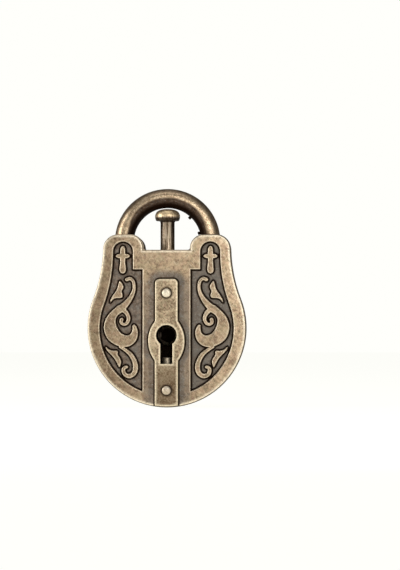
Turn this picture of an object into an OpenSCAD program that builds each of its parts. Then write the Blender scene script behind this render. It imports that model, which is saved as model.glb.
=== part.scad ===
// Antique-style padlock with a hinged shackle, a push plunger that throws the
// shackle bolt, and a lock bar worked by a bit key.
//
// Frame: millimetres, +Z up with the shackle on top, -Y is the decorated front,
// +X to the right of somebody facing the front. The origin is the centre of the
// shackle's bend, in the middle plane of the shackle's rod.

/* [Case] */
// Radius of the round lower part of the case
round_r = 32; // [31.5:0.1:32.5]
// Depth of the centre of the round part below the shackle's bend
round_drop = 34.9; // [34.2:0.1:35]
// Radius of the hollow flanks that run up into the two lobes
flank_r = 60; // [55:1:66]
// Thickness of the front cover
cover_t = 3; // [2.8:0.1:3.2]
// Depth of the rear case, from the cover's joint to the back face
case_t = 14; // [13.6:0.1:14.4]
// Thickness of the case's side walls
wall_t = 3; // [2.4:0.1:3.2]
// Thickness of the case's back wall
back_t = 2.5; // [2.3:0.1:2.8]
// How far the case stands proud of the front cover all round
cover_step = 0.45; // [0.2:0.05:0.8]

/* [Front relief] */
// Depth of the two sunk panels
panel_depth = 1.1; // [0.6:0.1:1.3]
// How far the ornament's top stays below the rim
ornament_sink = 0.1; // [0:0.05:0.3]
// Thickness of the keyhole escutcheon
escutcheon_t = 1.1; // [0.8:0.1:1.5]
// Radius of the rivets' domes
rivet_r = 1.8; // [1.5:0.1:2]

/* [Shackle] */
// Radius of the shackle's bend at the middle of the rod
bend_r = 17.5; // [17.3:0.1:17.7]
// Diameter of the shackle's rod
rod_d = 7.8; // [7.4:0.1:7.9]
// Radius of the eye at the shackle's heel
eye_r = 5.3; // [5:0.1:5.4]
// Radius of the pivot pin
pivot_r = 1.6; // [1.3:0.1:1.8]
// Running clearance of the pivot pin in the shackle's eye
pivot_gap = 0.05; // [0.03:0.01:0.08]
// Angle that the shackle swings open
swing_deg = 100; // [90:1:110]

/* [Plunger] */
// Radius of the plunger's head
head_r = 5.1; // [4.5:0.1:5.3]
// Radius of the plunger's stem above its clip
stem_r = 2.85; // [2.6:0.05:3]
// Running clearance of the stem in its bush
stem_gap = 0.07; // [0.04:0.01:0.1]
// Travel of the plunger, which the bolt copies sideways
throw = 4; // [3.6:0.1:4]

/* [Key way] */
// Radius of the round part of the keyhole
keyhole_r = 4.1; // [3.6:0.05:4.1]
// Width of the keyhole's slot
keyslot_w = 4.8; // [4.2:0.1:4.8]
// Bore radius of the bush that carries the key's end
key_bore_r = 2.85; // [2.6:0.05:3]

/* [Hidden] */
$fn = 64;
over = 1; // how far a cutting shape runs past the solid that it cuts
far = 90; // a reach beyond every side of the lock

// Levels from front to back
joint_y = -5.5; // where the cover meets the case
face_y = joint_y - cover_t;
floor_y = face_y + panel_depth;
shield_y = face_y - escutcheon_t;
back_y = joint_y + case_t;
inner_y = back_y - back_t;

// Outline of the case
round_c = [0, -round_drop];
lobe_out_c = [19.8, -3.25];
lobe_out_r = 6;
lobe_in_c = [14.8, -2.85];
lobe_in_r = 5.6;
saddle_z = -3.5; // flat top between the lobes
flank_c = meet(round_c, round_r + flank_r, lobe_out_c, lobe_out_r + flank_r);
flank_low = angle_of(flank_c - round_c);
flank_high = angle_of(flank_c - lobe_out_c);

// Sunk panel on the right of the front, mirrored for the left
panel_top_c = [17.5, -4.3];
panel_top_r = 4;
panel_round_c = [0, -35.2];
panel_round_r = 26.9;
panel_flank_r = 62;
panel_band_x = 9.6; // edge of the plain central band
panel_step_z = -11.5; // where the panel widens towards the band
panel_flank_x = panel_top_c.x + panel_top_r + panel_flank_r;
panel_flank_rise = sqrt(pow(panel_round_r + panel_flank_r, 2) - pow(panel_flank_x, 2));
panel_flank_c = [panel_flank_x, panel_round_c.y + panel_flank_rise];
panel_flank_low = angle_of(panel_flank_c - panel_round_c);

// Inside of the case
lobe_block_z = -15.5; // the lobes are solid down to here
bay_x = 9.9; // half width of the bay between the lobes
roof_t = 3.5; // thickness of the case's roof
roof_z = saddle_z - roof_t;
boss_r = 2.6;
boss_places = [[20, -24], [19, -48], [-19, -48], [-20, -24]];
back_panel_depth = 0.5;
back_panel_top = -14;
back_panel_inset = 4.5;
back_panel_y = back_y - back_panel_depth;

// Fasteners
screw_r = 1.25;
screw_head_r = 2.4;
screw_head_t = 1.3;
screw_tip_y = -3;
screw_slot = [0.6, 0.6]; // width and depth of the slots in all screw heads
seat_depth = 1.5; // how far posts, bushes and small screws sit in a wall
small_screw_r = 0.9;
small_head_r = 1.6;
small_head_t = 1;

// Keyhole and escutcheon
key_z = -37.9;
keyslot_z = -49.3;
shield_top_z = -15.3;
shield_corner_r = 1.8;
shield_w = 4.6; // half width above the bulge
shield_low_w = 4.7; // half width below the bulge
bulge_r = 13;
bulge_c = [-5.65, -40.2]; // centre of the bulge's right-hand arc
rivet_z = [-21, -59.9];
rivet_rise = 1;
rivet_shank_r = 1;
rivet_tail = [1.6, 0.6]; // radius and thickness of the set-over end

// Shackle
rod_r = rod_d / 2;
pivot = [-bend_r, -5.1];
toe_z = -12.5;
toe_chamfer = 0.8;
notch_z = [-10.6, -7.6];
notch_x = 16.4;
slot_gap = 0.35; // clearance beside the rod in the case
eye_gap = 0.4; // clearance round the eye in the case
heel_reach = 16; // how far the heel's slot is cut out past the pivot
socket_x = [12.2, 22.3];
socket_z = -13.8;
socket_y = rod_r + 0.3;
peg_r = 0.65;
peg_angles = [47, 15];
peg_tip_r = 12.7; // distance of the pegs' tips from the bend's centre
peg_root_r = 14.8;

// Plunger, from its head down to its foot
head_top_z = 13.2;
head_wide_z = 10.6;
head_under_z = 8.4;
clip_z = [-8.5, -7.2];
clip_r = 3.4;
core_r = 2; // stem below the clip
neck_z = [-23.6, -21.6];
neck_r = 1.2;
foot_z = -24.6;
drive_z = -19.5;
drive_r = 0.8;
bush_r = 4.2;
spring_z = [-16.6, -8.5];
spring_r = 2.7;
spring_wire_r = 0.35;
spring_turns = 5;
spring_end_gap = 0.03;

// Sliding plates behind the plunger
plate_y = [3.6, 5.2];
bolt_z = [-25.2, -17.5];
bolt_x = [-14.4, 9.3];
riser_x = [1.5, 5.6];
nose_x = [3.8, 12];
nose_z = [-10.4, -7.8];
nose_y = [-1.6, 3.6];
nose_gap = 0.3;
post_r = 1;
post_gap = 0.1;
post_head_r = 1.7;
post_head_t = 1;
post_play = [0.2, 0.15]; // play of a plate under the posts' heads and over their collars
bolt_posts = [[7, -21.4], [-8.2, -21.4]];
bar_posts = [[9, -28.4], [-8, -28.4]];
bar_z = [-31, -25.8];
bar_x = [-14, 10.8];
flange_z = [-27.4, -25.8];
flange_x = [-6, 2.9];
flange_y = [-3.4, 3.6];
foot_hole_r = 2.3;
neck_slot_r = 1.4;
talon_x = [-5.2, 1.2];
talon_z = -28.5;

// Bracket, springs and wards
bracket_x = 6.2;
bracket_z = [-18, -9.5];
bracket_t = 1.2;
shelf_t = 1.4;
shelf_y = 3.4;
bracket_screw_places = [[4.6, -13], [-4.6, -13]];
leaf_x = -14.35;
leaf_t = 0.5;
leaf_z = [-43, -27];
leaf_front_y = 2;
leaf_tab = [-18.6, -39]; // left end and top of the tab under the screw
leaf_screw = [-16.8, -41];
leaf_screw_r = 0.8;
ward_post_r = 2.1;
ward_post_y = -1.5;
ward_post_z = [-65, -46.8];
ward_post_seat = 4; // length of the post that stands in the case's wall
ward_ring_r = [4.4, 5.7];
ward_gap = 4.8; // width of the ring's opening below
key_bush_y = inner_y - 1.3;

bronze = [0.62, 0.52, 0.38];
dark_bronze = [0.42, 0.34, 0.25];
steel = [0.66, 0.66, 0.68];
brass = [0.78, 0.64, 0.36];

// ---- geometry helpers ----

function angle_of(v) = atan2(v.y, v.x);

// Where two circles cross, on the right of the line from the first to the second
function meet(c1, r1, c2, r2) =
    let (d = norm(c2 - c1), u = (c2 - c1) / d)
    let (a = (r1 * r1 - r2 * r2 + d * d) / (2 * d))
    c1 + a * u + sqrt(r1 * r1 - a * a) * [u.y, -u.x];

// Points along an arc, without its first one
function arc(c, r, a0, a1, n) =
    [for (i = [1:n]) let (a = a0 + (a1 - a0) * i / n) c + r * [cos(a), sin(a)]];

function on_circle(c, r, a) = c + r * [cos(a), sin(a)];

// Mirrors a right-hand outline that starts on the centre line
function both_sides(half) =
    concat(half, [for (i = [len(half) - 1:-1:1]) [-half[i].x, half[i].y]]);

function mirrored(points) = [for (p = points) [-p.x, p.y]];

// Catmull-Rom curve through four neighbours
function blend(p0, p1, p2, p3, t) =
    (2 * p1 + (p2 - p0) * t + (2 * p0 - 5 * p1 + 4 * p2 - p3) * t * t
    + (3 * p1 - p0 - 3 * p2 + p3) * t * t * t) / 2;

function loop_curve(p, n) = let (m = len(p))
    [for (i = [0:m - 1]) for (k = [0:n - 1])
        blend(p[(i + m - 1) % m], p[i], p[(i + 1) % m], p[(i + 2) % m], k / n)];

function open_curve(p, n) = let (m = len(p))
    concat([for (i = [0:m - 2]) for (k = [0:n - 1])
        blend(p[max(i - 1, 0)], p[i], p[i + 1], p[min(i + 2, m - 1)], k / n)], [p[m - 1]]);

function flat(p) = [p.x, p.y];

// Direction of a curve at its point i
function heading(s, i) =
    let (d = flat(s[min(i + 1, len(s) - 1)]) - flat(s[max(i - 1, 0)])) d / norm(d);

function beside(s, i, side) =
    let (h = heading(s, i)) flat(s[i]) + side * s[i].z / 2 * [-h.y, h.x];

// Outline of a brush stroke with round ends: points are [x, z, width]
function stroke(points, n = 4, cap = 4) =
    let (s = open_curve(points, n), last = len(s) - 1)
    let (a0 = angle_of(heading(s, 0)), a1 = angle_of(heading(s, last)))
    concat(
        [for (i = [0:last]) beside(s, i, 1)],
        [for (k = [1:cap - 1]) on_circle(flat(s[last]), s[last].z / 2, a1 + 90 - 180 * k / cap)],
        [for (i = [last:-1:0]) beside(s, i, -1)],
        [for (k = [1:cap - 1]) on_circle(flat(s[0]), s[0].z / 2, a0 - 90 - 180 * k / cap)]);

// Stands a flat shape in the X-Z plane and gives it the depth from y0 to y1
module plate(y0, y1) {
    rotate([90, 0, 0])
        translate([0, 0, -y1])
            linear_extrude(y1 - y0)
                children();
}

// Cylinder along Y
module rod_y(place, r, y0, y1) {
    plate(y0, y1)
        translate(place)
            circle(r);
}

// Cylinder along Z on the plunger's axis
module rod_z(r, z0, z1) {
    translate([0, 0, z0])
        cylinder(r = r, h = z1 - z0);
}

// Box from its lowest to its highest corner
module box(low, high) {
    translate(low)
        cube(high - low);
}

// Slot between two points, as wide as 2 r
module slot_2d(a, b, r) {
    d = b - a;
    translate(a)
        rotate(angle_of(d))
            translate([0, -r])
                square([norm(d), 2 * r]);
    translate(a)
        circle(r);
    translate(b)
        circle(r);
}

// ---- outlines ----

// Outline of the case drawn in by a distance
function case_outline(inset) = both_sides(concat(
    [on_circle(round_c, round_r - inset, -90)],
    arc(round_c, round_r - inset, -90, flank_low, 48),
    arc(flank_c, flank_r + inset, 180 + flank_low, 180 + flank_high, 12),
    arc(lobe_out_c, lobe_out_r - inset, flank_high, 90, 10),
    [on_circle(lobe_in_c, lobe_in_r - inset, 90)],
    arc(lobe_in_c, lobe_in_r - inset, 90, 180, 10),
    [[lobe_in_c.x - lobe_in_r + inset, saddle_z - inset]]));

function cover_outline(inset) = case_outline(cover_step + inset);

function panel_corner_z(x) = panel_round_c.y - sqrt(pow(panel_round_r, 2) - pow(x, 2));

panel_outline = let (low = [panel_band_x, panel_corner_z(panel_band_x)])
    concat(
        [low],
        arc(panel_round_c, panel_round_r, angle_of(low - panel_round_c), panel_flank_low, 30),
        arc(panel_flank_c, panel_flank_r, 180 + panel_flank_low, 180, 10),
        [on_circle(panel_top_c, panel_top_r, 0)],
        arc(panel_top_c, panel_top_r, 0, 180, 16),
        [[panel_top_c.x - panel_top_r, panel_step_z], [panel_band_x, panel_step_z]]);

// Escutcheon: a strap with a bulge round the keyhole, cut off along the cover's edge
shield_edge_r = round_r - cover_step - 0.1;
shield_up = acos((shield_w - bulge_c.x) / bulge_r);
shield_down = acos((shield_low_w - bulge_c.x) / bulge_r);
shield_outline = both_sides(concat(
    [on_circle(round_c, shield_edge_r, -90)],
    arc(round_c, shield_edge_r, -90, -acos(shield_low_w / shield_edge_r), 4),
    [on_circle(bulge_c, bulge_r, -shield_down)],
    arc(bulge_c, bulge_r, -shield_down, shield_up, 16),
    [[shield_w, shield_top_z - shield_corner_r]],
    arc([shield_w - shield_corner_r, shield_top_z - shield_corner_r], shield_corner_r, 0, 90, 6)));

// The keyhole grows by a margin in the parts behind the escutcheon
module keyhole_2d(margin) {
    translate([0, key_z])
        circle(keyhole_r + margin);
    translate([-keyslot_w / 2 - margin, keyslot_z - margin])
        square([keyslot_w + 2 * margin, key_z - keyslot_z]);
}

// ---- ornament of the left-hand panel ----

dagger = both_sides(concat(
    [[0, -13.2], [0.8, -12.9], [1.25, -12.1], [1.3, -11.4], [1, -8.2], [1.05, -7.1]],
    [[2.1, -6.85], [2.75, -6.4], [2.75, -5.9], [2.1, -5.4], [1.05, -5.3]],
    [[0.95, -3.2], [0.6, -2.4], [0, -2.1]]));
dagger_x = -17.6;
upper_leaf = [[-18.7, -16.1], [-17.3, -18.4], [-18, -20.2], [-17.6, -21.8], [-18.1, -22.9],
    [-20, -23], [-21.3, -23.4], [-22.6, -24.7], [-22.2, -23.1], [-21, -21.2],
    [-19.8, -19.3], [-19.3, -17.4]];
lower_leaf = [[-24.4, -42.5], [-23, -43.6], [-21.3, -44.1], [-20.2, -44], [-19.5, -44.5],
    [-19.6, -45.6], [-18.9, -46.7], [-18.2, -48.2], [-18.4, -49.6], [-18.95, -50.7],
    [-19.9, -48.9], [-20.9, -47.2], [-22.4, -45.5], [-24, -43.8]];
tail_stroke = [[-16, -15.6, 1.4], [-14.6, -15.2, 1.3], [-13.4, -16.3, 1.2],
    [-13, -18.2, 1.2], [-13.3, -20.5, 1.4], [-14.5, -23, 1.8], [-16.2, -25.2, 2.4],
    [-18.3, -27.3, 3]];
belly_stroke = [[-18.4, -27.2, 3.2], [-20.6, -28.9, 2.9], [-22.2, -31.3, 3.8],
    [-22.6, -34.4, 5.1], [-21.5, -37.5, 5.6], [-19, -39.6, 5.1], [-16, -40.2, 4.6],
    [-13.7, -39, 3.6], [-12.7, -36.9, 2.5], [-12.8, -35, 1.7], [-13.1, -34.2, 1.2]];
curl_stroke = [[-17.4, -27.6, 2], [-15.9, -29.2, 1.6], [-15.2, -31.2, 1.4],
    [-15.9, -33, 1.3], [-17.2, -33.5, 1.2], [-18.2, -32.7, 1.3], [-18, -31.6, 1.5]];
foot_stroke = [[-18.6, -42.5, 1.1], [-16.5, -43.8, 1.3], [-14.4, -45.6, 1.6],
    [-12.9, -48.2, 1.8], [-12.4, -50.8, 2], [-13, -53, 1.9], [-14.8, -54.2, 1.8],
    [-16.6, -53.6, 1.6], [-17.3, -52, 1.5], [-16.9, -50.9, 1.3], [-16, -50.6, 1.2]];

module ornament_piece(points) {
    plate(face_y + ornament_sink, floor_y + 0.3)
        polygon(points);
}

module ornament() {
    translate([dagger_x, 0, 0])
        ornament_piece(dagger);
    ornament_piece(loop_curve(upper_leaf, 3));
    ornament_piece(loop_curve(lower_leaf, 3));
    ornament_piece(stroke(tail_stroke));
    ornament_piece(stroke(belly_stroke));
    ornament_piece(stroke(curl_stroke));
    ornament_piece(stroke(foot_stroke));
}

// ---- case ----

module rear_case() {
    color(dark_bronze)
    difference() {
        plate(joint_y, back_y)
            polygon(case_outline(0));
        // Room for the works: the round part, and the bay between the lobes
        intersection() {
            plate(joint_y - over, inner_y)
                polygon(case_outline(wall_t));
            box([-far, joint_y - over, -far], [far, inner_y, lobe_block_z]);
        }
        box([-bay_x, joint_y - over, lobe_block_z - 0.5], [bay_x, inner_y, roof_z]);
        heel_slot();
        toe_socket();
        rod_y(pivot, pivot_r, joint_y - over, back_y + over);
        rod_z(bush_r, roof_z - over, saddle_z + over);
        // Window for the bolt's nose, from the bay into the socket
        box([bay_x - over, nose_y[0] - nose_gap, nose_z[0] - nose_gap],
            [socket_x[0] + rod_r, nose_y[1] + nose_gap, nose_z[1] + nose_gap]);
        // Shallow panel in the back face
        intersection() {
            plate(back_panel_y, back_y + over)
                polygon(case_outline(back_panel_inset));
            box([-far, 0, -far], [far, far, back_panel_top]);
        }
        for (p = boss_places)
            screw_hole(p);
        for (p = concat(bolt_posts, bar_posts))
            rod_y(p, post_r, inner_y - over, inner_y + seat_depth);
        rod_y([0, key_z], bush_r, inner_y - over, inner_y + seat_depth);
        rod_y(leaf_screw, leaf_screw_r, inner_y - over, inner_y + seat_depth);
        translate([0, ward_post_y, ward_post_z[0]])
            cylinder(r = ward_post_r, h = ward_post_seat);
    }
}

// Slot in which the shackle's heel turns, open at the top and at the left
module heel_slot() {
    half = rod_r + slot_gap;
    open_dir = [cos(90 + swing_deg), sin(90 + swing_deg)];
    below = half * [-open_dir.y, open_dir.x];
    plate(-half, half) {
        translate(pivot)
            circle(eye_r + eye_gap);
        translate(pivot)
            polygon([[half, 0], [half, heel_reach], [-heel_reach, heel_reach],
                below + heel_reach * open_dir, below]);
    }
}

// Socket for the shackle's toe, long enough for the toe to swing out
module toe_socket() {
    for (x = [socket_x[0] + socket_y, socket_x[1] - socket_y])
        translate([x, 0, socket_z])
            cylinder(r = socket_y, h = far);
    box([socket_x[0] + socket_y, -socket_y, socket_z],
        [socket_x[1] - socket_y, socket_y, far]);
}

// Cone of a countersunk head that is flush with the back panel
module countersink(place) {
    translate([place.x, back_panel_y, place.y])
        rotate([90, 0, 0])
            cylinder(r1 = screw_head_r, r2 = screw_r, h = screw_head_t);
}

// Countersunk hole through the back wall
module screw_hole(place) {
    rod_y(place, screw_r, inner_y - over, back_y + over);
    countersink(place);
}

// Cuts a screwdriver slot into a head that ends at y and faces towards side, -1 or 1
module driver_slot(place, reach, y, side) {
    low = min(y - side * screw_slot[1], y + side * over);
    high = max(y - side * screw_slot[1], y + side * over);
    box([place.x - reach, low, place.y - screw_slot[0] / 2],
        [place.x + reach, high, place.y + screw_slot[0] / 2]);
}

module cover_screws() {
    color(steel)
    for (p = boss_places)
        difference() {
            union() {
                rod_y(p, screw_r, screw_tip_y, back_panel_y - screw_head_t);
                countersink(p);
            }
            driver_slot(p, screw_head_r + over, back_panel_y, 1);
        }
}

module front_cover() {
    color(bronze)
    difference() {
        union() {
            difference() {
                plate(face_y, joint_y)
                    polygon(cover_outline(0));
                plate(face_y - over, floor_y)
                    polygon(panel_outline);
                plate(face_y - over, floor_y)
                    polygon(mirrored(panel_outline));
            }
            ornament();
            mirror([1, 0, 0])
                ornament();
            for (p = boss_places)
                rod_y(p, boss_r, joint_y - 0.5, inner_y);
        }
        plate(face_y - over, joint_y + over)
            keyhole_2d(0.15);
        for (p = boss_places)
            rod_y(p, screw_r, screw_tip_y, inner_y + over);
        for (z = rivet_z)
            rod_y([0, z], rivet_shank_r, face_y - over, joint_y + over);
        for (p = bracket_screw_places)
            rod_y(p, small_screw_r, joint_y - seat_depth, joint_y + over);
    }
}

module escutcheon() {
    color(bronze)
    difference() {
        plate(shield_y, face_y)
            polygon(shield_outline);
        plate(shield_y - over, face_y + over)
            keyhole_2d(0);
        for (z = rivet_z)
            rod_y([0, z], rivet_shank_r, shield_y - over, face_y + over);
    }
}

// Domed rivets through the escutcheon and the cover, set over at the back
module escutcheon_rivets() {
    dome_r = (rivet_r * rivet_r + rivet_rise * rivet_rise) / (2 * rivet_rise);
    color(brass)
    for (z = rivet_z) {
        intersection() {
            translate([0, shield_y - rivet_rise + dome_r, z])
                sphere(dome_r);
            box([-3, shield_y - 3, z - 3], [3, shield_y, z + 3]);
        }
        rod_y([0, z], rivet_shank_r, shield_y, joint_y);
        rod_y([0, z], rivet_tail[0], joint_y, joint_y + rivet_tail[1]);
    }
}

module pivot_pin() {
    color(steel)
    rod_y(pivot, pivot_r, joint_y, back_y);
}

// ---- shackle ----

module shackle() {
    color(dark_bronze)
    difference() {
        union() {
            rotate([90, 0, 0])
                rotate_extrude(angle = 180)
                    translate([bend_r, 0])
                        circle(rod_r);
            translate([bend_r, 0, toe_z + toe_chamfer])
                cylinder(r = rod_r, h = -toe_z - toe_chamfer);
            translate([bend_r, 0, toe_z])
                cylinder(r1 = rod_r - toe_chamfer, r2 = rod_r, h = toe_chamfer);
            translate([-bend_r, 0, pivot.y])
                cylinder(r = rod_r, h = -pivot.y);
            rod_y(pivot, eye_r, -rod_r, rod_r);
        }
        rod_y(pivot, pivot_r + pivot_gap, -rod_r - over, rod_r + over);
        box([bend_r - rod_r - over, -rod_r - over, notch_z[0]], [notch_x, rod_r + over, notch_z[1]]);
        for (a = peg_angles)
            peg(a, 10);
    }
}

// Cylinder that points at the bend's centre
module peg(angle, tip) {
    rotate([0, -angle, 0])
        rotate([0, 90, 0])
            translate([0, 0, tip])
                cylinder(r = peg_r, h = peg_root_r - tip);
}

module stop_pegs() {
    color(dark_bronze)
    for (a = peg_angles)
        peg(a, peg_tip_r);
}

// ---- plunger ----

module plunger() {
    color(dark_bronze)
    difference() {
        rotate_extrude()
            polygon(concat(
                [[0, foot_z], [core_r, foot_z], [core_r, neck_z[0]], [neck_r, neck_z[0]]],
                [[neck_r, neck_z[1]], [core_r, neck_z[1]], [core_r, clip_z[1]]],
                [[stem_r, clip_z[1]], [stem_r, head_under_z - 0.6], [stem_r + 0.6, head_under_z]],
                [[head_r - 0.9, head_under_z], [head_r, head_wide_z - 0.9], [head_r, head_wide_z]],
                [[head_r - 0.5, head_top_z - 1.3], [head_r - 1.5, head_top_z - 0.5]],
                [[head_r - 2.9, head_top_z - 0.1], [0, head_top_z]]));
        rod_y([0, drive_z], drive_r, -core_r - over, core_r + over);
    }
}

module plunger_bush() {
    color(brass)
    difference() {
        rod_z(bush_r, roof_z, saddle_z);
        rod_z(stem_r + stem_gap, roof_z - over, saddle_z + over);
    }
}

module plunger_clip() {
    color(steel)
    difference() {
        rod_z(clip_r, clip_z[0], clip_z[1]);
        rod_z(core_r, clip_z[0] - over, clip_z[1] + over);
    }
}

module drive_pin() {
    color(steel)
    rod_y([0, drive_z], drive_r, -core_r + 0.1, plate_y[1] + 0.3);
}

// Compression spring: round wire wound on a helix, closed by flat ends
module plunger_spring() {
    sides = 10;
    steps = 24; // rings per turn
    rings = spring_turns * steps;
    z0 = spring_z[0] + spring_wire_r + spring_end_gap;
    z1 = spring_z[1] - spring_wire_r - spring_end_gap;
    points = [for (i = [0:rings]) for (k = [0:sides - 1])
        let (a = 360 * i / steps, b = 360 * k / sides, r = spring_r + spring_wire_r * cos(b))
        [r * cos(a), r * sin(a), z0 + (z1 - z0) * i / rings + spring_wire_r * sin(b)]];
    skin = [for (i = [0:rings - 1]) for (k = [0:sides - 1])
        let (j = (k + 1) % sides)
        [i * sides + k, (i + 1) * sides + k, (i + 1) * sides + j, i * sides + j]];
    color(steel)
    polyhedron(points, concat(skin,
        [[for (k = [0:sides - 1]) k]],
        [[for (k = [sides - 1:-1:0]) rings * sides + k]]));
}

// L-shaped bracket on the cover: its shelf carries the plunger's spring
module spring_bracket() {
    color(steel)
    difference() {
        union() {
            box([-bracket_x, joint_y, bracket_z[0]], [bracket_x, joint_y + bracket_t, bracket_z[1]]);
            box([-bracket_x, joint_y, bracket_z[0]], [bracket_x, shelf_y, bracket_z[0] + shelf_t]);
        }
        rod_z(core_r + 0.3, bracket_z[0] - over, bracket_z[0] + shelf_t + over);
        for (p = bracket_screw_places)
            rod_y(p, small_screw_r, joint_y - over, joint_y + bracket_t + over);
    }
}

module bracket_screws() {
    head_y = joint_y + bracket_t;
    color(steel)
    for (p = bracket_screw_places)
        difference() {
            union() {
                rod_y(p, small_screw_r, joint_y - seat_depth, head_y);
                rod_y(p, small_head_r, head_y, head_y + small_head_t);
            }
            driver_slot(p, small_head_r + over, head_y + small_head_t, 1);
        }
}

// ---- sliding plates ----

module post_slot(place) {
    slot_2d(place - [throw, 0], place, post_r + post_gap);
}

// Plate that the drive pin moves sideways by its slanting slot
module shackle_bolt() {
    color(brass)
    plate(plate_y[0], plate_y[1])
    difference() {
        union() {
            translate([bolt_x[0], bolt_z[0]])
                square([bolt_x[1] - bolt_x[0], bolt_z[1] - bolt_z[0]]);
            translate([riser_x[0], bolt_z[1] - over])
                square([riser_x[1] - riser_x[0], nose_z[1] - bolt_z[1] + over]);
        }
        slot_2d([0, drive_z], [-throw, drive_z - throw], drive_r + post_gap);
        for (p = bolt_posts)
            post_slot(p);
    }
}

module bolt_nose() {
    color(steel)
    box([nose_x[0], nose_y[0], nose_z[0]], [nose_x[1], nose_y[1], nose_z[1]]);
}

// Bar moved by the key: its flange grips the plunger's neck when thrown
module lock_bar() {
    color(brass)
    union() {
        plate(plate_y[0], plate_y[1])
        difference() {
            translate([bar_x[0], bar_z[0]])
                square([bar_x[1] - bar_x[0], bar_z[1] - bar_z[0]]);
            translate([talon_x[0], bar_z[0] - over])
                square([talon_x[1] - talon_x[0], talon_z - bar_z[0] + over]);
            for (p = bar_posts)
                post_slot(p);
        }
        difference() {
            box([flange_x[0], flange_y[0], flange_z[0]], [flange_x[1], flange_y[1], flange_z[1]]);
            translate([0, 0, flange_z[0] - over])
                linear_extrude(flange_z[1] - flange_z[0] + 2 * over) {
                    circle(foot_hole_r);
                    slot_2d([-throw, 0], [0, 0], neck_slot_r);
                }
        }
    }
}

// Headed posts riveted into the back wall, with a collar behind the plate
module guide_posts(places) {
    head_y = plate_y[0] - post_play[0];
    color(steel)
    for (p = places) {
        rod_y(p, post_r, head_y, inner_y + seat_depth);
        rod_y(p, post_head_r, head_y - post_head_t, head_y);
        rod_y(p, post_head_r, plate_y[1] + post_play[1], inner_y);
    }
}

module bolt_guide_posts() {
    guide_posts(bolt_posts);
}

module lock_bar_guide_posts() {
    guide_posts(bar_posts);
}

// Leaf spring beside the lock bar: a blade with a foot screwed to the back wall
module leaf_spring() {
    tab_y = inner_y - leaf_t;
    color(steel)
    difference() {
        union() {
            box([leaf_x - leaf_t, leaf_front_y, leaf_z[0]], [leaf_x, inner_y, leaf_z[1]]);
            box([leaf_tab[0], tab_y, leaf_z[0]], [leaf_x, inner_y, leaf_tab[1]]);
        }
        rod_y(leaf_screw, leaf_screw_r, tab_y - over, inner_y + over);
    }
}

module leaf_spring_screw() {
    head_y = inner_y - leaf_t;
    color(steel)
    difference() {
        union() {
            rod_y(leaf_screw, leaf_screw_r, head_y, inner_y + seat_depth);
            rod_y(leaf_screw, small_head_r, head_y - small_head_t, head_y);
        }
        driver_slot(leaf_screw, small_head_r + over, head_y - small_head_t, -1);
    }
}

// ---- key way ----

module key_bush() {
    color(brass)
    plate(key_bush_y, inner_y + seat_depth)
    difference() {
        translate([0, key_z])
            circle(bush_r);
        translate([0, key_z])
            circle(key_bore_r);
    }
}

// Ring that only a key with a notched bit turns past, open below for the bit
module ward_ring() {
    color(steel)
    plate(key_bush_y, inner_y)
    difference() {
        translate([0, key_z])
            circle(ward_ring_r[1]);
        translate([0, key_z])
            circle(ward_ring_r[0]);
        translate([-ward_gap / 2, key_z - 10])
            square([ward_gap, 10]);
    }
}

// Upright post behind the foot of the keyhole
module ward_post() {
    color(dark_bronze)
    translate([0, ward_post_y, ward_post_z[0]])
        cylinder(r = ward_post_r, h = ward_post_z[1] - ward_post_z[0]);
}

rear_case();
front_cover();
escutcheon();
escutcheon_rivets();
cover_screws();
pivot_pin();
plunger_bush();
spring_bracket();
bracket_screws();
bolt_guide_posts();
lock_bar_guide_posts();
leaf_spring();
leaf_spring_screw();
key_bush();
ward_ring();
ward_post();
shackle();
stop_pegs();
plunger();
plunger_clip();
drive_pin();
plunger_spring();
shackle_bolt();
bolt_nose();
lock_bar();
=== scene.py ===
"""Looks of the antique-bronze padlock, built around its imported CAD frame."""
import math

import bmesh
import bpy
import numpy as np
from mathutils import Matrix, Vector
from mathutils.geometry import delaunay_2d_cdt
from mathutils.kdtree import KDTree


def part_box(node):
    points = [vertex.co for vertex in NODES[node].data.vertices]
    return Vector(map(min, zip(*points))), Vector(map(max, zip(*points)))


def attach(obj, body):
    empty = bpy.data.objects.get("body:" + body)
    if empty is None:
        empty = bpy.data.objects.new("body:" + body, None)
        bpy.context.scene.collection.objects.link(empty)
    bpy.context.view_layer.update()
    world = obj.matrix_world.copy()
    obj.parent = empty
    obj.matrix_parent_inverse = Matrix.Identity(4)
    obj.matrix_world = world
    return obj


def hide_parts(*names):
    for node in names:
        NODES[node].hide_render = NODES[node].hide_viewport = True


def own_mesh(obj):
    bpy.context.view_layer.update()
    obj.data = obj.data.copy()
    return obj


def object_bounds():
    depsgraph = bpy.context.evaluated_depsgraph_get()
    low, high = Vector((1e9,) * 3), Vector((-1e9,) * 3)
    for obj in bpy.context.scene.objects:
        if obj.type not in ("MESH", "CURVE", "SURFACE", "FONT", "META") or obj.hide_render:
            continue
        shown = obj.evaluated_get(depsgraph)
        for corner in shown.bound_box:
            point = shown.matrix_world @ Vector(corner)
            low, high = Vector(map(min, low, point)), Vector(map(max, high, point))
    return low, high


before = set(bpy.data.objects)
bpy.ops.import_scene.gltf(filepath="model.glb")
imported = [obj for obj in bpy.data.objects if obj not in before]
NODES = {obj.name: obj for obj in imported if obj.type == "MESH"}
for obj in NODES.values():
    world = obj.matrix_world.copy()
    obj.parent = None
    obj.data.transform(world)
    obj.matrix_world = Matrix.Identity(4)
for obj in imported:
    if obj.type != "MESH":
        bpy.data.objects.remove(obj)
cad_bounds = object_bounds()
MM = 0.001


# ---- numbers ----

def smooth(x, low, high):
    """0 below low, 1 above high, and a smooth step between them."""
    t = np.clip((np.asarray(x, float) - low) / (high - low), 0, 1)
    return t * t * (3 - 2 * t)


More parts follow.
